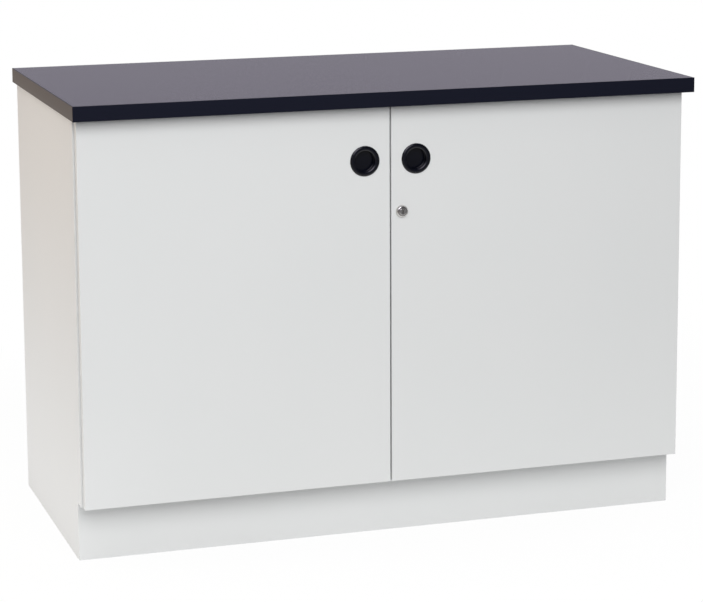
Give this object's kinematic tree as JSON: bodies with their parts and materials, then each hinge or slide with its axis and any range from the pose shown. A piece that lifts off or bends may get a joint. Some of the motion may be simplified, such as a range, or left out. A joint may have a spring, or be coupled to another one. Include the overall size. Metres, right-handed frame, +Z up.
{
  "type": "lab bench base cupboard",
  "caption": "Laboratory bench base unit: white two-door cupboard with round cup pulls and a cam lock, under a dark laminated worktop.",
  "frame": {"origin": "on the floor, under the middle of the worktop", "axes": "+X to the right along the width as seen from the front, +Y to the back, +Z up; the doors face -Y"},
  "size_m": [1.2, 0.6, 0.856],
  "materials": {
    "board": "white melamine facing on chipboard, satin",
    "back_board": "white faced hardboard, satin",
    "core": "raw chipboard",
    "laminate": "near-black blue-grey high-pressure laminate, fine matte texture",
    "edging": "near-black blue-grey ABS edging, satin",
    "pull_plastic": "black moulded plastic, semi-gloss",
    "nickel": "nickel plated die casting, polished",
    "hinge_steel": "nickel plated pressed steel",
    "fitting_steel": "zinc plated steel",
    "bumper": "translucent soft bumper"
  },
  "bodies": {
    "carcass": {"worktop_core": "core", "worktop_laminate": "laminate", "worktop_edging": "edging", "left_side_panel": "board", "right_side_panel": "board", "bottom_panel": "board", "back_panel": "back_board", "front_top_rail": "board", "rear_top_rail": "board", "kickboard": "board", "rear_plinth_rail": "board", "shelf": "board", "shelf_pins": "fitting_steel", "bolt_socket": "fitting_steel", "left_hinge_arms": "hinge_steel", "left_hinge_plates": "hinge_steel", "right_hinge_arms": "hinge_steel", "right_hinge_plates": "hinge_steel"},
    "left_outer_links": {"left_outer_links": "hinge_steel"},
    "left_inner_links": {"left_inner_links": "hinge_steel"},
    "left_door": {"left_door": "board", "left_pull": "pull_plastic", "left_door_bumpers": "bumper", "left_hinge_cups": "hinge_steel", "lock_strike": "fitting_steel", "bolt_guide": "fitting_steel"},
    "right_outer_links": {"right_outer_links": "hinge_steel"},
    "right_inner_links": {"right_inner_links": "hinge_steel"},
    "right_door": {"right_door": "board", "right_pull": "pull_plastic", "right_door_bumpers": "bumper", "right_hinge_cups": "hinge_steel", "lock_housing": "nickel", "lock_nut": "fitting_steel"},
    "lock_barrel": {"lock_plug": "nickel", "lock_cam": "fitting_steel"},
    "slide_bolt": {"bolt_rod": "fitting_steel"}
  },
  "joints": [
    {"name": "left_outer_hinge", "type": "hinge", "parent": "carcass", "child": "left_outer_links", "pos_m": [-0.549, -0.2395, 0.465], "axis": [0, 0, -1], "range_deg": [-28, 0]},
    {"name": "left_door_hinge", "type": "hinge", "parent": "left_outer_links", "child": "left_door", "pos_m": [-0.577, -0.2558, 0.465], "axis": [0, 0, -1], "range_deg": [0, 123]},
    {"name": "left_inner_hinge", "type": "hinge", "parent": "carcass", "child": "left_inner_links", "pos_m": [-0.559, -0.2562, 0.465], "axis": [0, 0, -1], "range_deg": [-37.08, 0]},
    {"name": "right_outer_hinge", "type": "hinge", "parent": "carcass", "child": "right_outer_links", "pos_m": [0.549, -0.2395, 0.465], "axis": [0, 0, 1], "range_deg": [-28, 0]},
    {"name": "right_door_hinge", "type": "hinge", "parent": "right_outer_links", "child": "right_door", "pos_m": [0.577, -0.2558, 0.465], "axis": [0, 0, 1], "range_deg": [0, 123]},
    {"name": "right_inner_hinge", "type": "hinge", "parent": "carcass", "child": "right_inner_links", "pos_m": [0.559, -0.2562, 0.465], "axis": [0, 0, 1], "range_deg": [-37.08, 0]},
    {"name": "lock_turn", "type": "hinge", "parent": "right_door", "child": "lock_barrel", "pos_m": [0.022, -0.261, 0.627], "axis": [0, -1, 0], "range_deg": [0, 90]},
    {"name": "bolt_slide", "type": "slide", "parent": "left_door", "child": "slide_bolt", "axis": [0, 0, 1], "range_m": [0, 0.012]}
  ],
  "couplings": [
    {"joint": "left_outer_hinge", "follows": "left_door_hinge", "ratio": -0.22764},
    {"joint": "left_inner_hinge", "follows": "left_door_hinge", "ratio": -0.30146},
    {"joint": "right_outer_hinge", "follows": "right_door_hinge", "ratio": -0.22764},
    {"joint": "right_inner_hinge", "follows": "right_door_hinge", "ratio": -0.30146}
  ]
}
